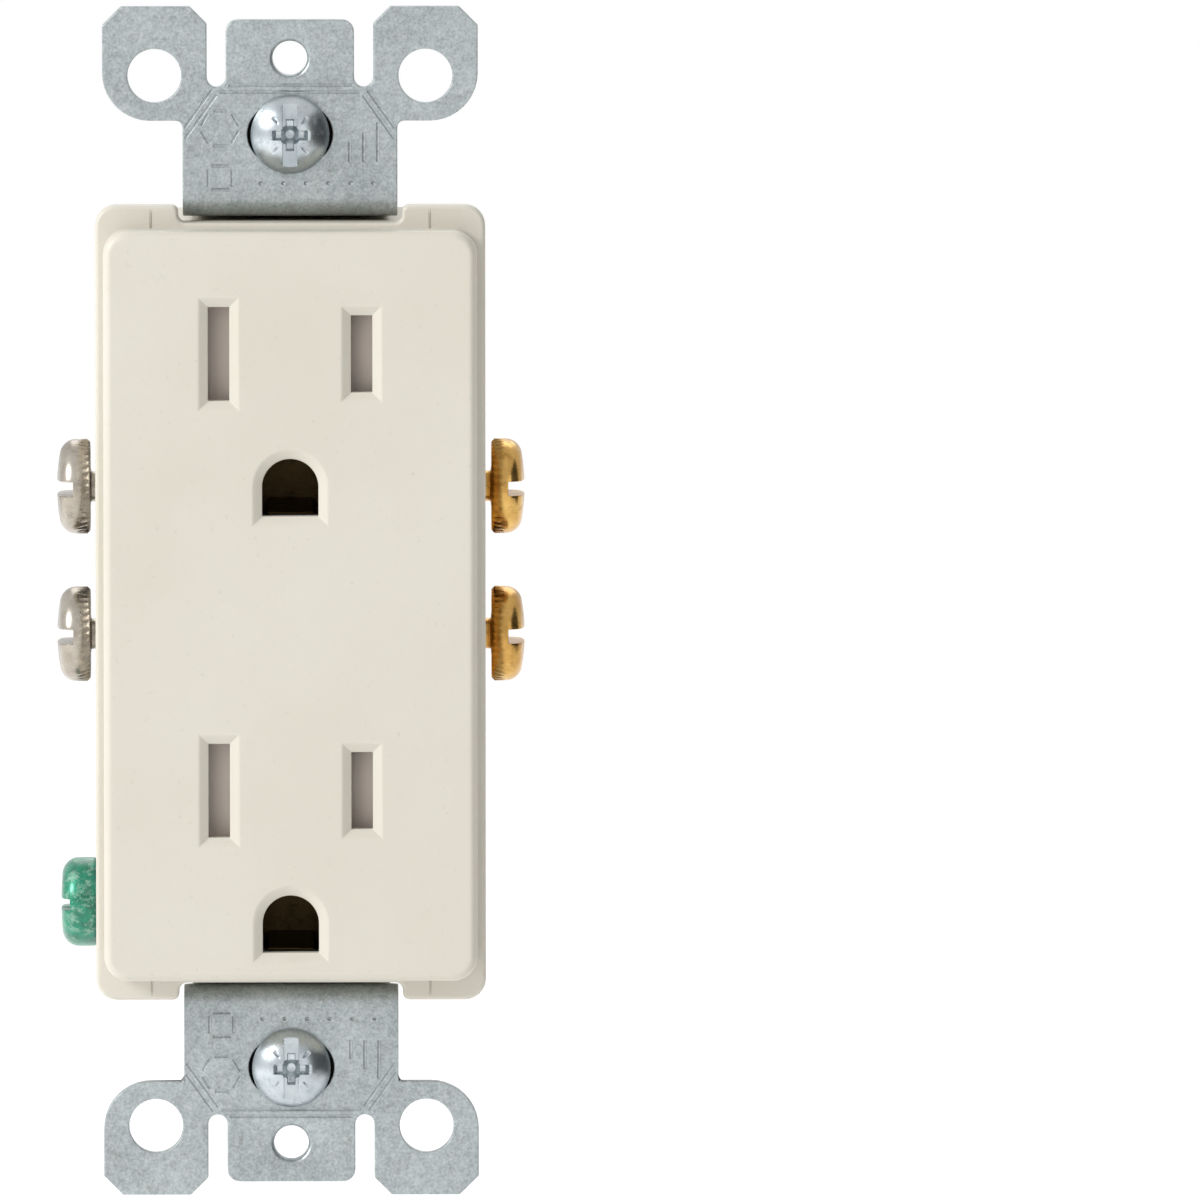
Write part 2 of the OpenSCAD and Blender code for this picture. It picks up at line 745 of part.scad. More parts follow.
// The head of a mounting screw: a dome with a slot and a cross
module mounting_screw_head(z) {
    crown = 1.7;
    ball_r = (mount_head_d*mount_head_d/4 + crown*crown)/(2*crown);
    mounting_screw_at(z)
        difference() {
            intersection() {
                cylinder(d = mount_head_d, h = mount_head_h);
                translate([0, 0, mount_head_h - ball_r])
                    sphere(r = ball_r);
            }
            translate([-0.65, -mount_head_d, mount_head_h - 1])
                cube([1.3, 2*mount_head_d, 2]);
            for (a = [0, 90])
                rotate(a)
                    translate([-1.9, -0.5, mount_head_h - 1.5])
                        cube([3.8, 1, 2]);
            translate([0, 0, mount_head_h - 1.9])
                cylinder(d = 1.8, h = 3);
        }
}

// The slim neck of a mounting screw, inside the strap's slot and the retainer
module mounting_screw_neck(z) {
    mounting_screw_at(z)
        translate([0, 0, -mount_neck])
            cylinder(d = neck_d, h = mount_neck);
}

// The threaded shank of a mounting screw, behind its retainer
module mounting_screw_shank(z) {
    mounting_screw_at(z) {
        translate([0, 0, -mount_screw_len + mount_tip])
            cylinder(d = screw_d, h = mount_screw_len - mount_tip - mount_neck);
        translate([0, 0, -mount_screw_len])
            cylinder(d1 = screw_d - 1, d2 = screw_d, h = mount_tip + eps);
    }
}

// The washer that keeps a mounting screw in its slot
module screw_retainer(z) {
    color([0.62, 0.2, 0.16])
        difference() {
            slab(0.1, 1)
                translate([0, z])
                    square([9.4, 7.4], center = true);
            bar_y(0, z, neck_d/2 + screw_clear, -1, 3);
        }
}

// A leaf spring that grips a pushed-in wire, at side -1 or 1
module wire_clip(side, z) {
    color(steel)
        translate([0, 0, z - wire_half + 0.2])
            linear_extrude(2*wire_half - 0.4)
                strip_path([for (p = [
                    [wire_x - 4.6, web_y - 0.8], [wire_x - 4.6, floor_y - 0.3],
                    [wire_x - 2.4, floor_y - 0.3], [wire_x + 0.9, web_y - 1.2]]) [side*p.x, p.y]], 0.4);
}

// A tapping screw from the back of the housing into the front cover
module assembly_screw(x, z) {
    color(steel)
        difference() {
            union() {
                bar_y(x*post_x, z*post_z, tap_screw_d/2, face_in + 1.4, counterbore_y + eps);
                bar_y(x*post_x, z*post_z, tap_head_d/2, counterbore_y, counterbore_y + 1.4);
            }
            for (a = [0, 90])
                translate([x*post_x, counterbore_y + 1.4, z*post_z])
                    rotate([0, a, 0])
                        cube([2.4, 1.6, 0.5], center = true);
        }
}

front_cover();
rear_housing();
mounting_strap();
neutral_contact_strip();
hot_contact_strip();
ground_contact_strip();
ground_rivet(rivet_z[0]);  // ground_rivet_upper
ground_rivet(rivet_z[1]);  // ground_rivet_lower
shutter(row_z[0]);  // shutter_upper
shutter(row_z[1]);  // shutter_lower
shutter_tray(row_z[0]);  // shutter_tray_upper
shutter_tray(row_z[1]);  // shutter_tray_lower
shutter_spring(row_z[0]);  // shutter_spring_upper
shutter_spring(row_z[1]);  // shutter_spring_lower
color(nickel) terminal_screw(-1, terminal_z[0]);  // neutral_screw_upper
color(nickel) terminal_screw(-1, terminal_z[1]);  // neutral_screw_lower
color(brass) terminal_screw(1, terminal_z[0]);  // hot_screw_upper
color(brass) terminal_screw(1, terminal_z[1]);  // hot_screw_lower
ground_screw();
mounting_screw_head(box_screw_dz/2);  // mounting_screw_head_upper
mounting_screw_head(-box_screw_dz/2);  // mounting_screw_head_lower
mounting_screw_neck(box_screw_dz/2);  // mounting_screw_neck_upper
mounting_screw_neck(-box_screw_dz/2);  // mounting_screw_neck_lower
mounting_screw_shank(box_screw_dz/2);  // mounting_screw_shank_upper
mounting_screw_shank(-box_screw_dz/2);  // mounting_screw_shank_lower
screw_retainer(box_screw_dz/2);  // screw_retainer_upper
screw_retainer(-box_screw_dz/2);  // screw_retainer_lower
wire_clip(-1, terminal_z[0]);  // wire_clip_neutral_upper
wire_clip(-1, terminal_z[1]);  // wire_clip_neutral_lower
wire_clip(1, terminal_z[0]);  // wire_clip_hot_upper
wire_clip(1, terminal_z[1]);  // wire_clip_hot_lower
assembly_screw(-1, 1);  // assembly_screw_1
assembly_screw(1, 1);  // assembly_screw_2
assembly_screw(-1, -1);  // assembly_screw_3
assembly_screw(1, -1);  // assembly_screw_4
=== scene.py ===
import math
import bpy
from mathutils import Matrix, Vector


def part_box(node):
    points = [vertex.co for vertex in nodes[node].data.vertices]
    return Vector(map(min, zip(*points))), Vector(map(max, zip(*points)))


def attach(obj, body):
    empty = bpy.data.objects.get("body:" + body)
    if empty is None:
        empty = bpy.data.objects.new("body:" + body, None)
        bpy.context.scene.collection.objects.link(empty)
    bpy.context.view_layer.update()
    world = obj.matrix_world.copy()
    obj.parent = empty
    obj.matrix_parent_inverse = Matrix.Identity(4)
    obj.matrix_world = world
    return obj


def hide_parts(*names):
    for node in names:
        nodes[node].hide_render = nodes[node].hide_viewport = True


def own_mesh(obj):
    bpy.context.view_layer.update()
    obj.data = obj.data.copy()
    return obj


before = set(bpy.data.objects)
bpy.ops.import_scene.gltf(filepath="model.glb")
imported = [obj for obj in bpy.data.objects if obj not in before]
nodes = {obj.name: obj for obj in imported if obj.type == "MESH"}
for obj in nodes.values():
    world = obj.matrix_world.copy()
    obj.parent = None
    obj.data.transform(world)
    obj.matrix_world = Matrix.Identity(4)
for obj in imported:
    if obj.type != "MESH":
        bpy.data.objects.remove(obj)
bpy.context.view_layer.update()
mm = 0.001
print("frame loaded:", len(nodes), "nodes")


# Selecting and shaping, with every size in millimetres

def only(piece=None):
    if bpy.context.object and bpy.context.object.mode != "OBJECT":
        bpy.ops.object.mode_set(mode="OBJECT")
    bpy.ops.object.select_all(action="DESELECT")
    if piece:
        piece.select_set(True)
        bpy.context.view_layer.objects.active = piece
    return piece


def settle(name):  # names the primitive just added and puts its place in its mesh
    piece = bpy.context.object
    piece.name = name
    bpy.ops.object.transform_apply(location=True, rotation=True, scale=True)
    return piece


def block(name, low, high, turn=(0, 0, 0)):
    only()
    middle = [(a + b) / 2 * mm for a, b in zip(low, high)]
    size = [abs(b - a) * mm for a, b in zip(low, high)]
    bpy.ops.mesh.primitive_cube_add(size=1, location=middle, rotation=turn, scale=size)
    return settle(name)


facing = {"X": (0, math.pi / 2, 0), "Y": (-math.pi / 2, 0, 0), "Z": (0, 0, 0)}


def bar(name, axis, centre, radius, span, sides=48):  # a round bar along one axis
    only()
    spot = Vector(centre)
    spot["XYZ".index(axis)] = (span[0] + span[1]) / 2
    bpy.ops.mesh.primitive_cylinder_add(vertices=sides, radius=radius * mm, depth=abs(span[1] - span[0]) * mm,
                                        location=spot * mm, rotation=facing[axis])
    return settle(name)


def turned(name, axis, centre, profile, sides=40):  # profile: (place along the axis, radius) from end to end
    only()
    along = "XYZ".index(axis)
    at, radius = profile[0]
    spot = Vector(centre)
    spot[along] = at
    bpy.ops.mesh.primitive_circle_add(vertices=sides, radius=radius * mm, fill_type="NGON",
                                      location=spot * mm, rotation=facing[axis])
    piece = settle(name)
    bpy.ops.object.mode_set(mode="EDIT")
    bpy.ops.mesh.select_mode(type="FACE")
    bpy.ops.mesh.select_all(action="SELECT")
    for level, r in profile[1:]:
        step = Vector((0, 0, 0))
        step[along] = (level - at) * mm
        bpy.ops.mesh.extrude_region_move(TRANSFORM_OT_translate={"value": step})
        grow = Vector((r / radius, r / radius, r / radius))
        grow[along] = 1
        bpy.ops.transform.resize(value=grow)
        at, radius = level, r
    outward(piece)
    return piece


def outward(piece):  # closes doubles and points every face out
    only(piece)
    bpy.ops.object.mode_set(mode="EDIT")
    bpy.ops.mesh.select_all(action="SELECT")
    bpy.ops.mesh.remove_doubles(threshold=0.000001)
    bpy.ops.mesh.normals_make_consistent(inside=False)
    bpy.ops.object.mode_set(mode="OBJECT")


# Selects edges by their two ends, or faces by middle and normal, and stays in edit mode
def pick(piece, kind, test):
    only(piece)
    bpy.ops.object.mode_set(mode="EDIT")
    bpy.ops.mesh.select_mode(type=kind)
    bpy.ops.mesh.select_all(action="DESELECT")
    bpy.ops.object.mode_set(mode="OBJECT")
    mesh = piece.data
    found = 0
    if kind == "EDGE":
        for edge in mesh.edges:
            a, b = (mesh.vertices[k].co / mm for k in edge.vertices)
            edge.select = bool(test(a, b))
            found += edge.select
    else:
        for face in mesh.polygons:
            face.select = bool(test(face.center / mm, face.normal))
            found += face.select
    bpy.ops.object.mode_set(mode="EDIT")
    return found


def near(a, b, slack=0.02):
    return abs(a - b) < slack


def roundOff(piece, test, radius, segments=6):  # bevels the edges that pass the test
    found = pick(piece, "EDGE", test)
    if found:
        bpy.ops.mesh.bevel(offset=radius * mm, offset_type="OFFSET", segments=segments, profile=0.5,
                           affect="EDGES", clamp_overlap=False)
        bpy.ops.mesh.select_all(action="SELECT")
        bpy.ops.mesh.remove_doubles(threshold=0.0000005)
    else:
        print("  no edge found on", piece.name)
    bpy.ops.object.mode_set(mode="OBJECT")
    return piece


def alongY(a, b, x, z, slack=0.03):  # an edge that runs along Y at this distance from the two middle planes
    return near(a.x, b.x) and near(a.z, b.z) and near(abs(a.x), x, slack) and near(abs(a.z), z, slack)


def levelY(a, b, y, slack=0.02):
    return near(a.y, y, slack) and near(b.y, y, slack)


def sweepEnd(centre, axis, degrees, steps=10):  # bends on from the selected end face
    bpy.ops.mesh.spin(steps=steps, angle=math.radians(-degrees), center=[c * mm for c in centre], axis=axis)


def pullEnd(x=0, y=0, z=0, widen=1):  # draws on from the selected end face
    bpy.ops.mesh.extrude_region_move(TRANSFORM_OT_translate={"value": (x * mm, y * mm, z * mm)})
    if widen != 1:
        bpy.ops.transform.resize(value=(widen, 1, 1))


def gathered(name, pieces):
    only(pieces[0])
    for piece in pieces[1:]:
        piece.select_set(True)
    if len(pieces) > 1:
        bpy.ops.object.join()
    bpy.context.object.name = name
    return bpy.context.object


def combine(piece, other, how):
    only(piece)
    tool = piece.modifiers.new("combine", "BOOLEAN")
    tool.object, tool.operation, tool.solver = other, how, "EXACT"
    bpy.ops.object.modifier_apply(modifier=tool.name)
    bpy.data.objects.remove(other)
    return piece


def cut(piece, *cutters):
    return combine(piece, gathered("cutter", list(cutters)), "DIFFERENCE")


def fuse(piece, other):
    return combine(piece, other, "UNION")


def soften(piece, width, segments=2, angle=35):  # a small bevel on every sharp edge
    only(piece)
    tool = piece.modifiers.new("soften", "BEVEL")
    tool.width, tool.segments, tool.limit_method = width * mm, segments, "ANGLE"
    tool.angle_limit, tool.use_clamp_overlap, tool.miter_outer = math.radians(angle), False, "MITER_ARC"
    bpy.ops.object.modifier_apply(modifier=tool.name)
    return piece


def finishPiece(piece, finish, body, replaced, angle=32, even=True):
    outward(piece)
    bpy.ops.object.shade_smooth_by_angle(angle=math.radians(angle))
    if even:
        tool = piece.modifiers.new("even", "WEIGHTED_NORMAL")
        tool.keep_sharp, tool.weight = True, 100
        bpy.ops.object.modifier_apply(modifier=tool.name)
    piece.data.materials.clear()
    piece.data.materials.append(finish)
    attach(piece, body)
    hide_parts(*replaced)
    print("piece:", piece.name, len(piece.data.polygons), "faces")
    return piece


# Materials

class Value:  # one output of a node, so that sums on values read as sums
    def __init__(self, maker, plug):
        self.maker, self.plug = maker, plug

    def work(self, operation, *others):
        return self.maker.node("ShaderNodeMath", {"operation": operation},
                               {0: self, **{k + 1: other for k, other in enumerate(others)}})

    def __add__(self, other):
        return self.work("ADD", other)

    def __sub__(self, other):
        return self.work("SUBTRACT", other)

    def __mul__(self, other):
        return self.work("MULTIPLY", other)

    def __rsub__(self, other):
        return self.maker.number(other).work("SUBTRACT", self)

    __radd__ = __add__
    __rmul__ = __mul__


class Finish:  # builds one material
    def __init__(self, name, **constants):
        self.material = bpy.data.materials.new(name)
        self.material.use_nodes = True
        self.tree = self.material.node_tree
        self.shader = self.tree.nodes["Principled BSDF"]
        self.place = self.node("ShaderNodeTexCoord", out="Object")
        for socket, value in constants.items():
            self.shader.inputs[socket.replace("_", " ")].default_value = value

    def node(self, kind, settings=None, sockets=None, out=0):
        made = self.tree.nodes.new(kind)
        for key, value in (settings or {}).items():
            if key == "stops":
                ramp = made.color_ramp
                while len(ramp.elements) < len(value):
                    ramp.elements.new(0.5)
                for element, (place, colour) in zip(ramp.elements, value):
                    element.position, element.color = place, colour
            else:
                setattr(made, key, value)
        for key, value in (sockets or {}).items():
            if isinstance(value, Value):
                self.tree.links.new(value.plug, made.inputs[key])
            else:
                made.inputs[key].default_value = value
        return Value(self, made.outputs[out])

    def number(self, value):
        return self.node("ShaderNodeMath", {"operation": "ADD"}, {0: value, 1: 0.0})

    def noise(self, scale, detail=3, rough=0.5, place=None):
        return self.node("ShaderNodeTexNoise", None, {"Vector": place or self.place, "Scale": scale,
                                                      "Detail": detail, "Roughness": rough})

    def stretch(self, scale):
        return self.node("ShaderNodeMapping", None, {"Vector": self.place, "Scale": scale})

    # the box mask that places painted shade on inner surfaces
    def hollow(self, halfX, halfZ, front, back):  # 1 inside a box round the middle, in millimetres
        x, y, z = (self.node("ShaderNodeSeparateXYZ", None, {0: self.place}, axis) for axis in "XYZ")
        withinX = x.work("ABSOLUTE").work("LESS_THAN", halfX * mm)
        withinZ = z.work("ABSOLUTE").work("LESS_THAN", halfZ * mm)
        return withinX * withinZ * y.work("GREATER_THAN", front * mm) * y.work("LESS_THAN", back * mm)

    def ramp(self, value, low, high):  # 0 at low, 1 at high
        return self.node("ShaderNodeMapRange", {"clamp": True}, {0: value, 1: low, 2: high, 3: 0.0, 4: 1.0})

    def mix(self, share, first, second):
        sockets = {0: share, 6: asColour(first), 7: asColour(second)}
        return self.node("ShaderNodeMix", {"data_type": "RGBA"}, sockets, out=2)

    def bump(self, height, strength, distance):
        return self.node("ShaderNodeBump", None, {"Height": height, "Strength": strength, "Distance": distance},
                         out="Normal")

    def to(self, **sockets):
        for key, value in sockets.items():
            self.tree.links.new(value.plug, self.shader.inputs[key.replace("_", " ")])
        return self.material


def asColour(value):
    return value if isinstance(value, Value) else (*value, 1.0)


def fromScreen(*screen):  # a screen colour as the linear colour the shader takes
    return tuple((c / 255 / 12.92) if c <= 10 else ((c / 255 + 0.055) / 1.055) ** 2.4 for c in screen)


# painted shade: the near-black colour put on inner surfaces that no light reaches
paintedShade = (0.004, 0.005, 0.006)


# Inside: the half sizes and the levels of the hollow whose inner surfaces get painted shade, a near-black colour, as
# no light should reach them
def mouldedPlastic(name, light, dark, roughness, grain, inside=None):
    finish = Finish(name, Specular_IOR_Level=0.45, Subsurface_Weight=0.05, Subsurface_Scale=0.001)
    cloud = finish.noise(55, 4, 0.55)
    speck = finish.ramp(finish.noise(1900, 2, 0.6), 0.66, 0.8)
    tone = finish.mix(finish.ramp(cloud, 0.3, 0.7), fromScreen(*dark), fromScreen(*light))
    tone = finish.mix(speck * 0.35, tone, fromScreen(*[c * 0.86 for c in dark]))
    if inside:
        # painted shade: near-black colour on every surface inside the box
        tone = finish.mix(finish.hollow(*inside) * 0.97, tone, paintedShade)
    fine = finish.noise(2600, 3, 0.6)
    wave = finish.noise(120, 2, 0.5)
    return finish.to(Base_Color=tone, Roughness=roughness - 0.06 + cloud * 0.12 + speck * 0.1,
                     Normal=finish.bump(fine * grain + wave * 0.6, 0.35, 0.00003))


def sheetMetal(name, light, dark, stain, roughness, grainSize, brushed=(1, 1, 1), inside=None):
    finish = Finish(name, Specular_IOR_Level=0.5)
    place = finish.stretch(brushed)
    cloud = finish.noise(120, 5, 0.6)
    grain = finish.noise(grainSize, 3, 0.7, place)
    frost = finish.noise(grainSize * 0.35, 4, 0.65, place)
    marks = finish.ramp(finish.noise(grainSize * 0.22, 5, 0.75), 0.57, 0.68)
    share = finish.ramp(cloud * 0.25 + grain * 0.45 + frost * 0.3, 0.4, 0.6)
    tone = finish.mix(share, fromScreen(*dark), fromScreen(*light))
    tone = finish.mix(marks * 0.45, tone, fromScreen(*stain))
    if inside:
        # painted shade: near-black colour on the surfaces inside the box
        tone = finish.mix(finish.hollow(*inside) * 0.86, tone, paintedShade)
    return finish.to(Base_Color=tone, Metallic=0.9 - marks * 0.3,
                     Roughness=roughness + marks * 0.1 + (grain - 0.5) * 0.16 + cloud * 0.06,
                     Normal=finish.bump(grain * 0.7 + frost * 0.6 - marks * 0.4, 0.5, 0.00004))


def platedScrew(name, light, dark, stain, roughness, wear=0.6):
    finish = Finish(name, Specular_IOR_Level=0.5)
    cloud = finish.noise(340, 4, 0.6)
    streak = finish.noise(900, 4, 0.65)
    marks = finish.ramp(finish.noise(700, 5, 0.75), 0.55, 0.72)
    tone = finish.mix(finish.ramp(cloud, 0.3, 0.7), fromScreen(*dark), fromScreen(*light))
    tone = finish.mix(marks * wear, tone, fromScreen(*stain))
    return finish.to(Base_Color=tone, Metallic=1.0 - marks * 0.3,
                     Roughness=roughness + marks * 0.2 + streak * 0.08,
                     Normal=finish.bump(streak + marks * 0.6, 0.35, 0.00002))


def greenLacquer(name):
    finish = Finish(name, Specular_IOR_Level=0.5, Coat_Roughness=0.2)
    cloud = finish.noise(700, 5, 0.65)
    worn = finish.ramp(finish.noise(1250, 5, 0.75), 0.5, 0.62)
    tone = finish.mix(finish.ramp(cloud, 0.3, 0.7), fromScreen(4, 84, 66), fromScreen(14, 150, 116))
    tone = finish.mix(worn * 0.8, tone, fromScreen(150, 186, 168))
    return finish.to(Base_Color=tone, Metallic=0.35 + worn * 0.45, Coat_Weight=(1 - worn) * 0.6,
                     Roughness=0.3 + worn * 0.22 + cloud * 0.1,
                     Normal=finish.bump(cloud - worn * 0.7, 0.5, 0.00005))


def pressedFibre(name):
    finish = Finish(name, Specular_IOR_Level=0.3)
    strand = finish.noise(900, 5, 0.7, finish.stretch((1, 1, 5)))
    tone = finish.mix(finish.ramp(strand, 0.35, 0.7), fromScreen(24, 20, 19), fromScreen(46, 39, 36))
    return finish.to(Base_Color=tone, Roughness=0.72 + strand * 0.15, Normal=finish.bump(strand, 0.6, 0.00006))


# the last tuples of the cover, housing and brass contact finishes are the boxes that get painted shade
finishes = {
    "cover": mouldedPlastic("almondCover", (205, 201, 190), (200, 195, 182), 0.42, 0.35,
                            (14.9, 31.7, -5.75, 2)),
    "housing": mouldedPlastic("almondHousing", (208, 202, 186), (198, 191, 174), 0.5, 0.7,
                              (15.3, 33.2, -0.85, 16.9)),
    "shutter": mouldedPlastic("greyShutter", (236, 224, 214), (222, 209, 199), 0.5, 0.5),
    "tray": mouldedPlastic("greyTray", (128, 121, 115), (112, 105, 100), 0.6, 0.7),
    "galvanised": sheetMetal("galvanisedStrap", (186, 193, 194), (146, 153, 155), (132, 130, 124), 0.42, 4200),
    "zinc": platedScrew("zincScrew", (204, 210, 212), (168, 178, 184), (112, 126, 132), 0.24),
    "nickel": platedScrew("nickelScrew", (200, 193, 182), (150, 141, 128), (84, 66, 50), 0.22),
    "brass": platedScrew("brassScrew", (222, 182, 108), (172, 126, 60), (96, 58, 26), 0.2),
    "brassSheet": sheetMetal("brassContact", (214, 176, 106), (186, 144, 78), (134, 92, 50), 0.3, 2400,
                             (1, 0.2, 1), (15.5, 33, -1.9, 18)),
    "nickelSheet": sheetMetal("nickelContact", (196, 192, 184), (168, 162, 154), (120, 108, 94), 0.3, 2400,
                              (1, 0.2, 1)),
    "green": greenLacquer("greenScrew"),
    "springSteel": platedScrew("springWire", (176, 178, 180), (138, 140, 144), (92, 88, 84), 0.3, 0.4),
    "fibre": pressedFibre("darkFibre"),
}
print("materials:", len(finishes))


# Front cover

cover = {
    "faceHalf": (16.6, 33.4), "faceCorner": 2.2, "faceEdge": 0.75,
    "flangeFront": -3.1, "flangeCorner": 1.9, "flangeEdge": 0.35,
    "notchHalf": 9.95, "notchEnd": 33.9, "notchCorner": 0.7, "mouldLineX": 12.4, "mouldLineHalf": 0.06, "mouldLineDeep": 0.015,
    "inside": -5.7, "wall": 1.9, "rows": (22.5, -16.4), "bladeX": 6.35,
    "slotHalf": 0.95, "slotHeights": {-1: 8.35, 1: 6.85}, "mouth": [(0, 0.5), (0.66, 0.11), (0.82, 0.03), (0.98, 0)],
    "pinDrop": 11.85, "pinR": 2.5, "pinFlat": 2.6, "sleeve": 0.9, "sleeveBack": -3.3,
    "postX": 10.3, "postZ": 30.6, "postR": 2.5, "postHoleR": 1.5,
}


def dShape(name, z, y0, y1, grow=0.0):  # a ground hole's outline: round above, flat below
    r = cover["pinR"] + grow
    flat = cover["pinFlat"] + grow
    piece = block(name, (-r, y0, z - flat), (r, y1, z + r))
    roundOff(piece, lambda a, b: near(a.x, b.x) and near(a.z, b.z) and a.z > z, r, 14)
    outward(piece)
    return piece


def flared(cutter, x, z, halfX, halfZ, front):  # opens a hole's cutter out to a sloped mouth at the face
    pick(cutter, "FACE", lambda middle, normal: normal.y < -0.9)
    was, at = cover["mouth"][0]
    for out, deep in cover["mouth"][1:]:
        bpy.ops.mesh.extrude_region_move(TRANSFORM_OT_translate={"value": (0, (deep - at) * mm, 0)})
        bpy.ops.transform.resize(value=((halfX + out) / (halfX + was), 1, (halfZ + out) / (halfZ + was)),
                                 center_override=(x * mm, (front + deep) * mm, z * mm))
        was, at = out, deep
    pullEnd(y=-0.3)
    outward(cutter)
    return cutter


def makeCover():
    low, high = (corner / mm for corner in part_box("front_cover"))
    front, back = low.y, -0.9
    halfX, halfZ = cover["faceHalf"]
    piece = block("frontCover", (-halfX, front, -halfZ), (halfX, cover["flangeFront"] + 0.6, halfZ))
    roundOff(piece, lambda a, b: alongY(a, b, halfX, halfZ), cover["faceCorner"], 10)
    roundOff(piece, lambda a, b: levelY(a, b, front), cover["faceEdge"], 6)
    flange = block("flange", (low.x, cover["flangeFront"], low.z), (high.x, back, high.z))
    roundOff(flange, lambda a, b: alongY(a, b, high.x, high.z), cover["flangeCorner"], 8)
    for side in (-1, 1):
        notch = block("notch", (-cover["notchHalf"], -5, side * cover["notchEnd"]),
                      (cover["notchHalf"], 1, side * (high.z + 2)))
        roundOff(notch, lambda a, b: alongY(a, b, cover["notchHalf"], cover["notchEnd"]),
                 cover["notchCorner"], 5)
        cut(flange, notch)
    roundOff(flange, lambda a, b: alongY(a, b, cover["notchHalf"], high.z), 0.6, 4)
    roundOff(flange, lambda a, b: levelY(a, b, cover["flangeFront"]), cover["flangeEdge"], 3)
    half, deep = cover["mouldLineHalf"], cover["flangeFront"] + cover["mouldLineDeep"]
    lines = [block("line", (x - half, -3.3, z * 33.2), (x + half, deep, z * 37))
             for x in (-cover["mouldLineX"], cover["mouldLineX"]) for z in (-1, 1)]
    cut(flange, *lines)
    fuse(piece, flange)
    hollow = block("hollow", (cover["wall"] - halfX, cover["inside"], cover["wall"] - halfZ),
                   (halfX - cover["wall"], 0, halfZ - cover["wall"]))
    solid = [bar("post", "Y", (x * cover["postX"], 0, z * cover["postZ"]), cover["postR"], (-7, 1))
             for x in (-1, 1) for z in (-1, 1)]
    solid += [dShape("sleeve", z - cover["pinDrop"], -7, cover["sleeveBack"], cover["sleeve"])
              for z in cover["rows"]]
    cut(hollow, *solid)
    cut(piece, hollow)
    holes = [bar("tap", "Y", (x * cover["postX"], 0, z * cover["postZ"]), cover["postHoleR"], (-4.7, 1), 24)
             for x in (-1, 1) for z in (-1, 1)]
    cut(piece, *holes)
    mouthDeep = cover["mouth"][0][1]
    for z in cover["rows"]:
        for side, height in cover["slotHeights"].items():
            x, half = side * cover["bladeX"], cover["slotHalf"]
            slot = block("slot", (x - half, front + mouthDeep, z - height / 2), (x + half, -4, z + height / 2))
            cut(piece, flared(slot, x, z, half, height / 2, front))
        pin = z - cover["pinDrop"]
        hole = dShape("pin", pin, front + mouthDeep, -1)
        lift = (cover["pinR"] - cover["pinFlat"]) / 2
        cut(piece, flared(hole, 0, pin + lift, cover["pinR"], (cover["pinR"] + cover["pinFlat"]) / 2, front))
    soften(piece, 0.06)
    finishPiece(piece, finishes["cover"], "root", ["front_cover"])


makeCover()


# Mounting strap

strap = {
    "thick": 1.25, "plateHalf": 9.55, "legHalf": 8.8, "backHalf": 7.6, "bendR": 0.4,
    "plateZ": 35.95, "plateEnd": 43.6, "backY": 18.6,
    "legTaper": 0.6, "backTaper": 0.7, "backShoulder": 1.6,
    "earOut": 16.7, "earIn": 7.4, "earLow": 42.87, "top": 53.05, "earCorner": 4.25, "chamferOut": 1.7,
    "chamferIn": 1.55, "tabHalf": 5.7, "tabTop": 51.87, "tabCorner": 1.1, "notchLow": 45.87, "fillet": 0.6,
    "earHole": (12.05, 46.87, 2.4), "plateHole": (48.42, 1.55), "collar": (2.15, 0.9),
    "boxSlot": (41.67, 3.8, 2.45), "scoreDeep": 0.12, "stampDeep": 0.12,
    "groundTab": {"outer": -17.1, "y": (3.8, 12.2), "z": (-31.8, -22.2), "arm": (-28.0, -22.2),
                  "hole": (8.0, -27.6, 1.8)},
}


def vLine(a, b, y, deep):  # a thin groove's cutter between two points of the plate, its axis just off the surface
    off = y + (0.4 if y > -0.5 else -0.4) * deep
    start, end = Vector((a[0], off, a[1])), Vector((b[0], off, b[1]))
    run = end - start
    only()
    bpy.ops.mesh.primitive_cylinder_add(vertices=8, radius=1.4 * deep * mm, depth=run.length * mm,
                                        location=(start + end) / 2 * mm,
                                        rotation=run.to_track_quat("Z", "Y").to_euler())
    return settle("score")


def strapEnd(side):
    t = strap["thick"]
    ears = block("ears", (-strap["earOut"], -t, side * strap["earLow"]),
                 (strap["earOut"], 0, side * strap["top"]))
    roundOff(ears, lambda a, b: alongY(a, b, strap["earOut"], strap["earLow"]), strap["earCorner"], 10)
    roundOff(ears, lambda a, b: alongY(a, b, strap["earOut"], strap["top"]), strap["chamferOut"], 1)
    width = strap["earIn"] - strap["tabHalf"]
    gaps = []
    for x in (-1, 1):
        gap = block("gap", (x * strap["tabHalf"], -2, side * strap["notchLow"]),
                    (x * strap["earIn"], 1, side * 55))
        roundOff(gap, lambda a, b: near(a.x, b.x) and near(a.z, b.z) and near(abs(a.z), strap["notchLow"]),
                 width / 2, 6)
        outward(gap)
        gaps.append(gap)
    for gap in gaps:
        cut(ears, gap)
    cut(ears, block("above", (-strap["tabHalf"] - 0.5, -2, side * strap["tabTop"]),
                    (strap["tabHalf"] + 0.5, 1, side * 55)))
    roundOff(ears, lambda a, b: alongY(a, b, strap["tabHalf"], strap["tabTop"]), strap["tabCorner"], 5)
    roundOff(ears, lambda a, b: alongY(a, b, strap["earIn"], strap["top"]), strap["chamferIn"], 1)
    return ears


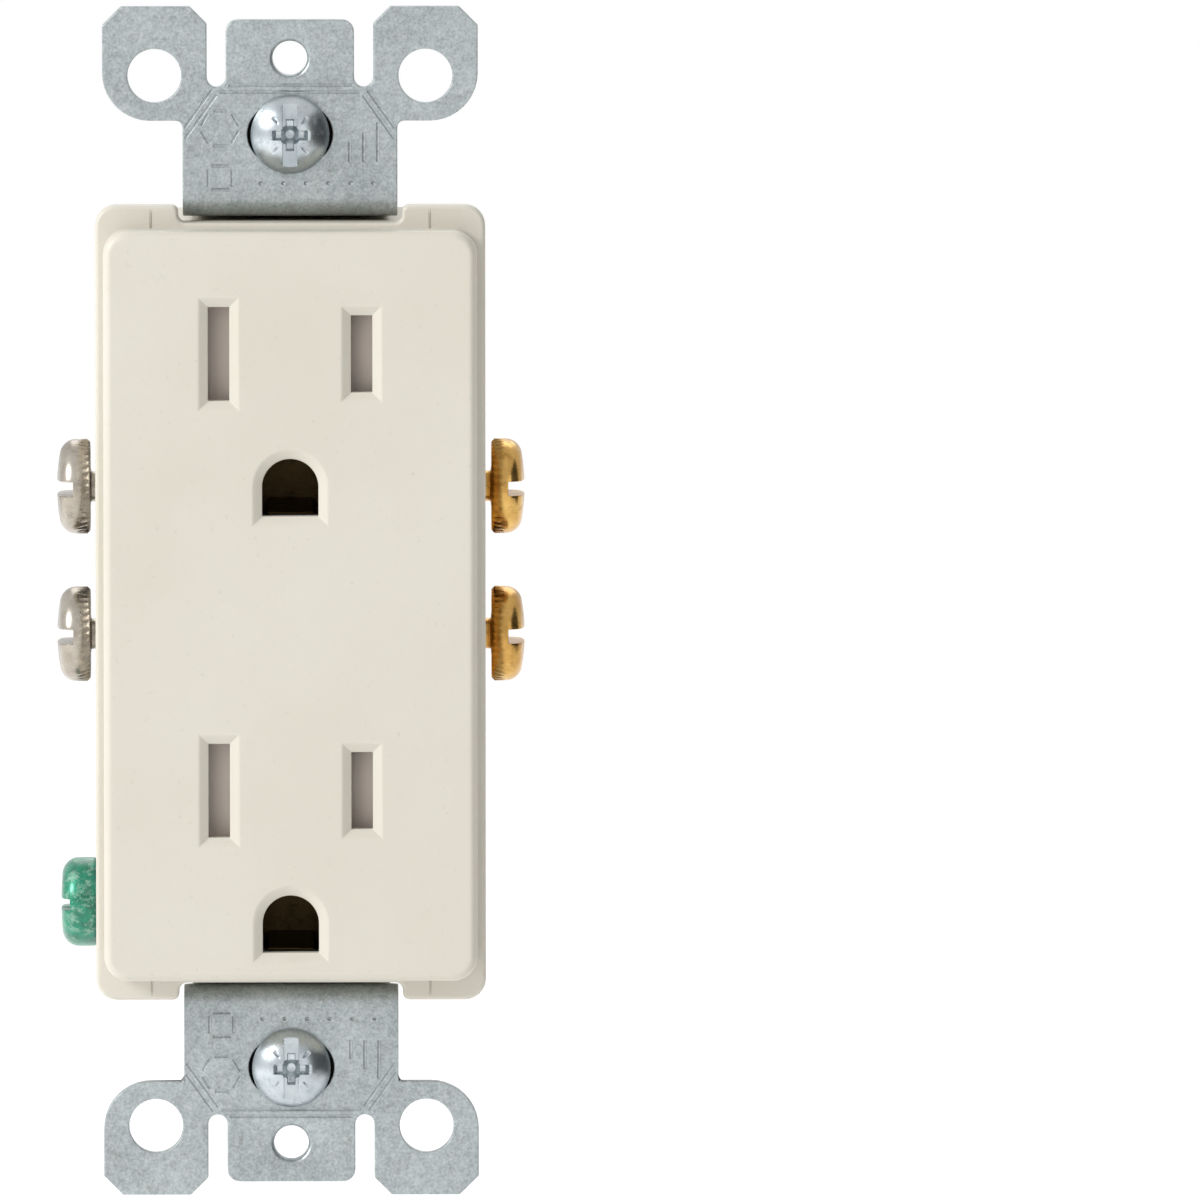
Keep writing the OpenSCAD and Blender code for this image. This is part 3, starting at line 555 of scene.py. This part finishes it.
def strapHoles(side):
    earX, earZ, earR = strap["earHole"]
    plateZ, plateR = strap["plateHole"]
    slotZ, slotHalf, slotR = strap["boxSlot"]
    slot = block("slot", (-slotHalf, -2, side * slotZ - slotR), (slotHalf, 2, side * slotZ + slotR))
    roundOff(slot, lambda a, b: near(a.x, b.x) and near(a.z, b.z), slotR, 10)
    outward(slot)
    return [bar("hole", "Y", (x * earX, 0, side * earZ), earR, (-2, 2), 40) for x in (-1, 1)] + [
        bar("hole", "Y", (0, 0, side * plateZ), plateR, (-2, 2), 36), slot]


def vOutline(x, z, radius, sides, y, deep, turn=0.0):  # a polygon of grooves whose corners stay apart
    corners = [Vector((x + radius * math.cos(turn + 2 * math.pi * k / sides),
                       z + radius * math.sin(turn + 2 * math.pi * k / sides))) for k in range(sides + 1)]
    lines = []
    for a, b in zip(corners, corners[1:]):
        trim = (b - a).normalized() * 0.28
        lines.append(vLine(a + trim, b - trim, y, deep))
    return lines


def stampedMarks(side):  # plain outlines, bars and dots in place of any lettering
    front, deep = -strap["thick"], strap["stampDeep"]
    marks = vOutline(-6.2, side * 42.2, 1.8, 6, front, deep)
    marks += vOutline(-6.2, side * 37.8, 1.5, 4, front, deep, 0.785)
    for k in range(3):
        x = 5.3 + 1.25 * k
        marks.append(vLine((x, side * 39.2), (x, side * (40.9 + 0.9 * k)), front, deep))
    for k in range(6):
        place = (-2.6 + 2 * k, 0, side * 37.3)
        marks.append(turned("dot", "Y", place, [(front - 0.2, 0.42), (front + deep, 0.06)], 12))
    return marks


def scoreLines(side):
    lines = [((-5.5, 46.02), (5.5, 46.02)), ((-6.2, 45.42), (6.2, 45.42))]
    for x in (-1, 1):
        lines += [((x * 6.95, 45.55), (x * 9.35, 42.2)), ((x * 6.5, 45.15), (x * 9.3, 41.25))]
    return [vLine((a[0], side * a[1]), (b[0], side * b[1]), y, strap["scoreDeep"])
            for a, b in lines for y in (-strap["thick"], 0)]


def makeStrap():
    t, r = strap["thick"], strap["bendR"]
    piece = block("strapBody", (-strap["plateHalf"], -t, strap["plateZ"]),
                  (strap["plateHalf"], 0, strap["plateEnd"]))
    pick(piece, "FACE", lambda middle, normal: normal.z < -0.9)
    legY = strap["backY"] - r
    narrow = strap["legHalf"] / strap["plateHalf"]
    inner = strap["plateZ"] - 2 * r - t
    taper, backTaper, shoulder = (strap[key] for key in ("legTaper", "backTaper", "backShoulder"))
    sweepEnd((0, r, strap["plateZ"]), (1, 0, 0), 90)
    pullEnd(y=taper, widen=narrow)
    pullEnd(y=legY - r - taper)
    sweepEnd((0, legY, inner), (1, 0, 0), -90)
    pullEnd(z=-shoulder)
    pullEnd(z=-backTaper, widen=strap["backHalf"] / strap["legHalf"])
    pullEnd(z=-2 * inner + 2 * (shoulder + backTaper))
    pullEnd(z=-backTaper, widen=strap["legHalf"] / strap["backHalf"])
    pullEnd(z=-shoulder)
    sweepEnd((0, legY, -inner), (1, 0, 0), -90)
    pullEnd(y=r + taper - legY)
    pullEnd(y=-taper, widen=1 / narrow)
    sweepEnd((0, r, -strap["plateZ"]), (1, 0, 0), 90)
    pullEnd(z=strap["plateZ"] - strap["plateEnd"])
    outward(piece)
    for side in (-1, 1):
        fuse(piece, strapEnd(side))
    roundOff(piece, lambda a, b: alongY(a, b, strap["plateHalf"], strap["earLow"]), strap["fillet"], 4)
    for side in (-1, 1):
        fuse(piece, bar("collar", "Y", (0, 0, side * strap["plateHole"][0]), strap["collar"][0],
                        (-0.2, strap["collar"][1])))
    tab = strap["groundTab"]
    arm = block("arm", (tab["outer"] + r + t, strap["backY"], tab["arm"][0]),
                (-4, strap["backY"] + t, tab["arm"][1]))
    pick(arm, "FACE", lambda middle, normal: normal.x < -0.9)
    sweepEnd((tab["outer"] + r + t, legY, 0), (0, 0, 1), 90)
    pullEnd(y=tab["y"][1] - legY - 1)
    outward(arm)
    seat = block("seat", (tab["outer"], tab["y"][0], tab["z"][0]),
                 (tab["outer"] + t, tab["y"][1], tab["z"][1]))
    roundOff(seat, lambda a, b: near(a.y, b.y) and near(a.z, b.z) and (a.y < 5 or a.z < -30), 1.6, 6)
    fuse(arm, seat)
    holeY, holeZ, holeR = tab["hole"]
    cut(arm, bar("hole", "X", (0, holeY, holeZ), holeR, (-19, -14), 32))
    fuse(piece, arm)
    holes = [hole for side in (-1, 1) for hole in strapHoles(side)]
    cut(piece, *holes)
    plateZ, plateR = strap["plateHole"]
    roundOff(piece, lambda a, b: levelY(a, b, -t) and all(  # the drawn collar's round mouth
        near(math.hypot(p.x, abs(p.z) - plateZ), plateR, 0.03) for p in (a, b)), 0.4, 4)
    soften(piece, 0.1)
    for side in (-1, 1):
        cut(piece, *(scoreLines(side) + stampedMarks(side)))
    finishPiece(piece, finishes["galvanised"], "root", ["mounting_strap"], 12, even=False)


makeStrap()


# Screws

def thread(start, end, outer, root, pitch):  # ridges along a shank
    count = max(1, int(abs(end - start) / pitch))
    way = 1 if end > start else -1
    profile = []
    for k in range(count):
        base = start + way * k * pitch
        profile += [(base, root), (base + way * pitch * 0.32, outer), (base + way * pitch * 0.5, outer),
                    (base + way * pitch * 0.82, root)]
    return profile


def dome(base, crown, radius, steps=8):  # from the rim to the crown of a round top
    rise = abs(crown - base)
    ball = (radius * radius + rise * rise) / (2 * rise)
    reach = math.asin(min(1, radius / ball))
    way = 1 if crown > base else -1
    return [(crown - way * ball * (1 - math.cos(reach * (1 - k / steps))),
             max(0.03, ball * math.sin(reach * (1 - k / steps)))) for k in range(steps + 1)]


mountScrew = {"headBase": -1.35, "rim": 0.42, "front": -3.45, "headR": 3.5, "neckR": 1.55, "neckEnd": 2.1,
              "threadR": 1.75, "rootR": 1.38, "pitch": 0.79, "tip": 17.65, "slotHalf": 0.65, "slotDeep": 1.0,
              "crossReach": 1.9, "crossHalf": 0.48, "crossDeep": 1.7, "dimpleR": 0.92, "dimpleDeep": 2.3}


def makeMountScrew(end):
    low, high = (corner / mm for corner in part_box("mounting_screw_head_" + end))
    z = (low.z + high.z) / 2
    m = mountScrew
    profile = [(m["tip"], 0.85), (m["tip"] - 0.5, m["rootR"])]
    profile += thread(m["tip"] - 0.7, m["neckEnd"] + 0.4, m["threadR"], m["rootR"], m["pitch"])
    profile += [(m["neckEnd"], m["neckR"]), (m["headBase"] - 0.01, m["neckR"]),
                (m["headBase"], m["headR"] - 0.12), (m["headBase"] - 0.14, m["headR"])]
    profile += dome(m["headBase"] - m["rim"], m["front"], m["headR"], 10)
    piece = turned("mountScrew_" + end, "Y", (0, 0, z), profile, 48)
    front = m["front"]
    cut(piece, block("slot", (-m["slotHalf"], front - 1, z - 4), (m["slotHalf"], front + m["slotDeep"], z + 4)))
    reach, half = m["crossReach"], m["crossHalf"]
    for dx, dz in ((reach, half), (half, reach)):
        wing = block("wing", (-dx, front - 1, z - dz), (dx, front + m["crossDeep"], z + dz))
        pick(wing, "FACE", lambda middle, normal: normal.y > 0.9)
        bpy.ops.transform.resize(value=(0.66, 1, 0.66))
        bpy.ops.object.mode_set(mode="OBJECT")
        cut(piece, wing)
    cut(piece, turned("dimple", "Y", (0, 0, z), [(front - 1, m["dimpleR"]), (front + 1.5, m["dimpleR"]),
                                                   (front + m["dimpleDeep"], 0.4)], 24))
    for k in range(4):  # short marks between the cross's arms
        angle = math.radians(45 + 90 * k)
        at = Vector((2.05 * math.cos(angle), 0, 2.05 * math.sin(angle)))
        cut(piece, block("mark", (at.x - 0.5, front - 1, z + at.z - 0.07),
                         (at.x + 0.5, front + 0.62, z + at.z + 0.07), (0, -angle, 0)))
    soften(piece, 0.05)
    parts = [f"mounting_screw_{part}_{end}" for part in ("head", "neck", "shank")]
    finishPiece(piece, finishes["zinc"], end + "_mounting_screw", parts)


for end in ("upper", "lower"):
    makeMountScrew(end)


wireScrew = {"headR": 4.225, "headTall": 3.0, "corner": 1.45, "teeth": 44, "toothDeep": 0.22, "threadR": 1.75,
             "rootR": 1.36, "pitch": 0.79, "shank": 6.4, "slotHalf": 0.635, "slotDeep": 1.47}


def makeWireScrew(node, finish, body):
    low, high = (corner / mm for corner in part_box(node))
    w = wireScrew
    way = 1 if high.x > 0 else -1
    outer = high.x if way > 0 else low.x
    y, z = (low.y + high.y) / 2, (low.z + high.z) / 2
    seat = outer - way * w["headTall"]
    tip = seat - way * w["shank"]
    profile = [(tip, 1.1), (tip + way * 0.35, w["rootR"])]
    profile += thread(tip + way * 0.4, seat, w["threadR"], w["rootR"], w["pitch"])
    profile += [(seat - way * 0.06, w["rootR"]), (seat, w["rootR"] + 0.5),
                (seat + way * 0.12, w["headR"] - 0.45), (seat, w["headR"] - 0.3),
                (seat + way * 0.3, w["headR"]), (seat + way * 1.25, w["headR"])]
    for k in range(1, 8):
        angle = math.radians(11 * k)
        profile.append((seat + way * (1.3 + w["corner"] * math.sin(angle)),
                        w["headR"] - w["corner"] * (1 - math.cos(angle))))
    profile += [(outer - way * 0.14, 2.2), (outer - way * 0.04, 1.2), (outer, 0.04)]
    piece = turned(node.title().replace("_", ""), "X", (0, y, z), profile, w["teeth"] * 2)
    mesh = piece.data
    pick(piece, "FACE", lambda middle, normal: False)
    bpy.ops.mesh.select_mode(type="VERT")
    bpy.ops.object.mode_set(mode="OBJECT")
    for point in mesh.vertices:  # every second point of the rim under the head goes in
        x, dy, dz = point.co.x / mm, point.co.y / mm - y, point.co.z / mm - z
        step = round(math.degrees(math.atan2(dz, dy)) / (180 / w["teeth"]))
        onRim = near(x, seat + way * 0.3, 0.01) and near(math.hypot(dy, dz), w["headR"], 0.02)
        point.select = onRim and step % 2 == 0
    bpy.ops.object.mode_set(mode="EDIT")
    inward = 1 - w["toothDeep"] / w["headR"]
    bpy.ops.transform.resize(value=(1, inward, inward), center_override=(seat * mm, y * mm, z * mm))
    bpy.ops.object.mode_set(mode="OBJECT")
    cut(piece, block("slot", (outer - way * w["slotDeep"], y - 6, z - w["slotHalf"]),
                     (outer + way, y + 6, z + w["slotHalf"])))
    soften(piece, 0.05, angle=50)
    finishPiece(piece, finish, body, [node], 38)


for end in ("upper", "lower"):
    makeWireScrew("neutral_screw_" + end, finishes["nickel"], end + "_neutral_screw")
    makeWireScrew("hot_screw_" + end, finishes["brass"], end + "_hot_screw")


earthScrew = {"headR": 3.975, "headTall": 3.4, "outerFillet": 1.5, "innerFillet": 0.55, "threadR": 1.75,
              "rootR": 1.36, "pitch": 0.79, "shank": 4.0, "slotHalf": 0.5, "slotDeep": 0.8, "cross": (1.7, 0.45, 1.3)}


def makeEarthScrew():
    low, high = (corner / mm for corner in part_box("ground_screw"))
    e = earthScrew
    y, z = (low.y + high.y) / 2, (low.z + high.z) / 2
    outer = low.x
    seat = outer + e["headTall"]
    tip = seat + e["shank"]
    profile = [(tip, 1.1), (tip - 0.35, e["rootR"])]
    profile += thread(tip - 0.4, seat + 0.1, e["threadR"], e["rootR"], e["pitch"])
    profile += [(seat, e["rootR"] + 0.3)]
    for k in range(5):
        angle = math.radians(22.5 * k)
        profile.append((seat - e["innerFillet"] * (1 - math.cos(angle)),
                        e["headR"] - e["innerFillet"] * (1 - math.sin(angle))))
    for k in range(8):
        angle = math.radians(12 * k)
        profile.append((outer + e["outerFillet"] * (1 - math.sin(angle)) + 0.12,
                        e["headR"] - e["outerFillet"] * (1 - math.cos(angle))))
    profile += [(outer + 0.05, 1.6), (outer, 0.04)]
    piece = turned("groundScrew", "X", (0, y, z), profile, 56)
    cut(piece, block("slot", (outer - 1, y - 6, z - e["slotHalf"]),
                     (outer + e["slotDeep"], y + 6, z + e["slotHalf"])))
    reach, half, deep = e["cross"]
    cut(piece, block("wing", (outer - 1, y - half, z - reach), (outer + deep, y + half, z + reach)))
    soften(piece, 0.05, angle=45)
    finishPiece(piece, finishes["green"], "ground_terminal_screw", ["ground_screw"], 38)


makeEarthScrew()


tapScrew = {"rim": 0.5, "rise": 0.9, "shankR": 1.3}


def makeTapScrew(number):
    node = f"assembly_screw_{number}"
    low, high = (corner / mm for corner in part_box(node))
    x, z = (low.x + high.x) / 2, (low.z + high.z) / 2
    radius = (high.x - low.x) / 2
    base = high.y - tapScrew["rim"] - tapScrew["rise"]
    profile = [(low.y, 0.3), (low.y + 1.4, 1.0)]
    profile += thread(low.y + 1.6, base - 2.5, tapScrew["shankR"], 0.95, 1.1)
    profile += [(base - 2.3, 1.15), (base - 0.01, 1.15), (base, radius - 0.1), (base + 0.1, radius)]
    profile += dome(base + tapScrew["rim"], high.y, radius, 6)
    piece = turned(f"tapScrew{number}", "Y", (x, 0, z), profile, 32)
    back = high.y
    for dx, dz in ((1.45, 0.36), (0.36, 1.45)):
        wing = block("wing", (x - dx, back - 1.0, z - dz), (x + dx, back + 1, z + dz))
        pick(wing, "FACE", lambda middle, normal: normal.y < -0.9)
        bpy.ops.transform.resize(value=(0.6, 1, 0.6))
        bpy.ops.object.mode_set(mode="OBJECT")
        cut(piece, wing)
    soften(piece, 0.04)
    finishPiece(piece, finishes["zinc"], "root", [node])


for number in (1, 2, 3, 4):
    makeTapScrew(number)


# Rivets through the ground strip

def makeRivet(end):
    node = "ground_rivet_" + end
    low, high = (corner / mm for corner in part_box(node))
    z = (low.z + high.z) / 2
    head, tall = (high.z - low.z) / 2, 0.8
    profile = [(low.y, 1.0), (low.y + 0.06, head - 0.4), (low.y + 0.3, head), (low.y + tall, head),
               (low.y + tall, 1.58), (high.y - tall, 1.58), (high.y - tall, head), (high.y - tall + 0.12, head)]
    profile += dome(high.y - tall + 0.14, high.y, head - 0.02, 6)[:-2] + [(high.y, 0.9), (high.y - 0.05, 0.5),
                                                                         (high.y - 0.06, 0.05)]
    piece = turned("rivet_" + end, "Y", (0, 0, z), profile, 36)
    finishPiece(piece, finishes["springSteel"], "root", [node], 38)


for end in ("upper", "lower"):
    makeRivet(end)


# Shutter springs

coil = {"wireR": 0.15, "turns": 9, "stepsPerTurn": 28}


def makeSpring(end):
    node = "shutter_spring_" + end
    low, high = (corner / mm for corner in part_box(node))
    y, z = (low.y + high.y) / 2, (low.z + high.z) / 2
    radius = (high.z - low.z) / 2 - coil["wireR"]
    run = high.x - low.x - 2 * coil["wireR"]
    only()
    start = Vector((low.x + coil["wireR"], y, z)) * mm
    bpy.ops.mesh.primitive_circle_add(vertices=10, radius=coil["wireR"] * mm, location=start)
    piece = bpy.context.object
    piece.name = "spring_" + end
    bpy.ops.object.mode_set(mode="EDIT")
    bpy.ops.mesh.select_all(action="SELECT")
    bpy.ops.transform.translate(value=(0, radius * mm, 0))
    bpy.ops.object.mode_set(mode="OBJECT")
    tool = piece.modifiers.new("wind", "SCREW")
    tool.axis, tool.angle, tool.screw_offset = "X", 2 * math.pi * coil["turns"], run * mm
    tool.steps = tool.render_steps = coil["turns"] * coil["stepsPerTurn"]
    tool.use_smooth_shade = True
    bpy.ops.object.modifier_apply(modifier=tool.name)
    bpy.ops.object.mode_set(mode="EDIT")
    bpy.ops.mesh.select_all(action="SELECT")
    bpy.ops.mesh.fill_holes(sides=12)
    bpy.ops.object.mode_set(mode="OBJECT")
    bpy.ops.object.transform_apply(location=True, rotation=True, scale=True)
    finishPiece(piece, finishes["springSteel"], "root", [node], 50)
    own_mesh(piece)


for end in ("upper", "lower"):
    makeSpring(end)


# Rear housing, from a merged copy of its node with its edges rounded

def makeHousing():
    only()
    source = nodes["rear_housing"]
    piece = source.copy()
    piece.data = source.data.copy()
    piece.parent = None
    bpy.context.scene.collection.objects.link(piece)
    for key in list(piece.keys()):
        del piece[key]
    piece.name = "rearHousing"
    only(piece)
    bpy.ops.object.mode_set(mode="EDIT")
    bpy.ops.mesh.select_all(action="SELECT")
    bpy.ops.mesh.remove_doubles(threshold=0.000001)
    bpy.ops.mesh.dissolve_limited(angle_limit=math.radians(1))
    bpy.ops.object.mode_set(mode="OBJECT")
    soften(piece, 0.22, 3, 50)
    finishPiece(piece, finishes["housing"], "root", ["rear_housing"])


makeHousing()


# Nodes that keep their own shape

kept = {
    "shutter": ["shutter_upper", "shutter_lower"],
    "tray": ["shutter_tray_upper", "shutter_tray_lower"],
    "nickelSheet": ["neutral_contact_strip"],
    "brassSheet": ["hot_contact_strip", "ground_contact_strip"],
    "springSteel": ["wire_clip_neutral_upper", "wire_clip_neutral_lower",
                    "wire_clip_hot_upper", "wire_clip_hot_lower"],
    "fibre": ["screw_retainer_upper", "screw_retainer_lower"],
}
for look, names in kept.items():
    for name in names:
        for slot in nodes[name].material_slots:
            slot.material = finishes[look]
print("kept nodes finished")


# Floor, light and camera

def makeStage():
    only()
    bpy.ops.mesh.primitive_plane_add(size=8, location=(0, 0, -0.16))
    floor = bpy.context.object
    floor.name = "paleFloor"
    bpy.ops.object.transform_apply(location=True, rotation=True, scale=True)
    look = Finish("paleFloor", Roughness=0.9, Emission_Color=(1, 1, 1, 1), Emission_Strength=0.18)
    cloud = look.noise(0.8, 2, 0.5)
    floor.data.materials.append(look.to(Base_Color=look.mix(cloud, (0.93, 0.93, 0.93), (0.96, 0.96, 0.96))))
    only()
    bpy.ops.mesh.primitive_plane_add(size=0.5, location=(0.38, -0.17, 0.1), rotation=(0, math.pi / 2, 0))
    card = bpy.context.object  # mirrored by the metals, and out of the camera's sight from every side
    card.name, card.visible_camera = "darkCard", False
    bpy.ops.object.transform_apply(location=True, rotation=True, scale=True)
    look = Finish("darkCard", Roughness=0.9)
    tone = look.mix(look.noise(4), (0.02, 0.02, 0.02), (0.04, 0.04, 0.04))
    card.data.materials.append(look.to(Base_Color=tone))


def softbox(name, place, target, size, power):
    lamp = bpy.data.lights.new(name, "AREA")
    lamp.shape, lamp.size, lamp.energy = "SQUARE", size, power
    holder = bpy.data.objects.new(name, lamp)
    bpy.context.scene.collection.objects.link(holder)
    holder.location = place
    holder.rotation_euler = (Vector(target) - Vector(place)).to_track_quat("-Z", "Y").to_euler()


view = {"place": (0.0105, -2.5821, 0.2026), "pan": 0.0066, "tilt": -0.0783, "roll": -0.0007, "lens": 872.5}


def makeCamera():
    pan, tilt = view["pan"], view["tilt"]
    ahead = Vector((math.sin(pan) * math.cos(tilt), math.cos(pan) * math.cos(tilt), math.sin(tilt)))
    right = Vector((math.cos(pan), -math.sin(pan), 0))
    above = right.cross(ahead)
    turn = Matrix((right, above, -ahead)).transposed().to_4x4() @ Matrix.Rotation(view["roll"], 4, "Z")
    lens = bpy.data.cameras.new("camera")
    lens.lens, lens.sensor_width, lens.clip_start, lens.clip_end = view["lens"], 36, 0.05, 30
    camera = bpy.data.objects.new("camera", lens)
    bpy.context.scene.collection.objects.link(camera)
    camera.matrix_world = Matrix.Translation(view["place"]) @ turn
    bpy.context.scene.camera = camera


makeStage()
softbox("keyLight", (-1.0, -0.55, 0.65), (0, 0, 0), 0.45, 10.5)
softbox("fillLight", (0.7, -0.9, 0.2), (0, 0, 0), 0.7, 0.8)
softbox("backLight", (0.1, 0.9, 0.8), (0, 0, 0), 0.8, 2.5)
world = bpy.data.worlds.new("softWorld")
world.use_nodes = True
world.node_tree.nodes["Background"].inputs["Color"].default_value = (1, 1, 1, 1)
world.node_tree.nodes["Background"].inputs["Strength"].default_value = 0.86
bpy.context.scene.world = world
bpy.context.scene.view_settings.view_transform = "Standard"
makeCamera()
print("stage, light and camera ready")
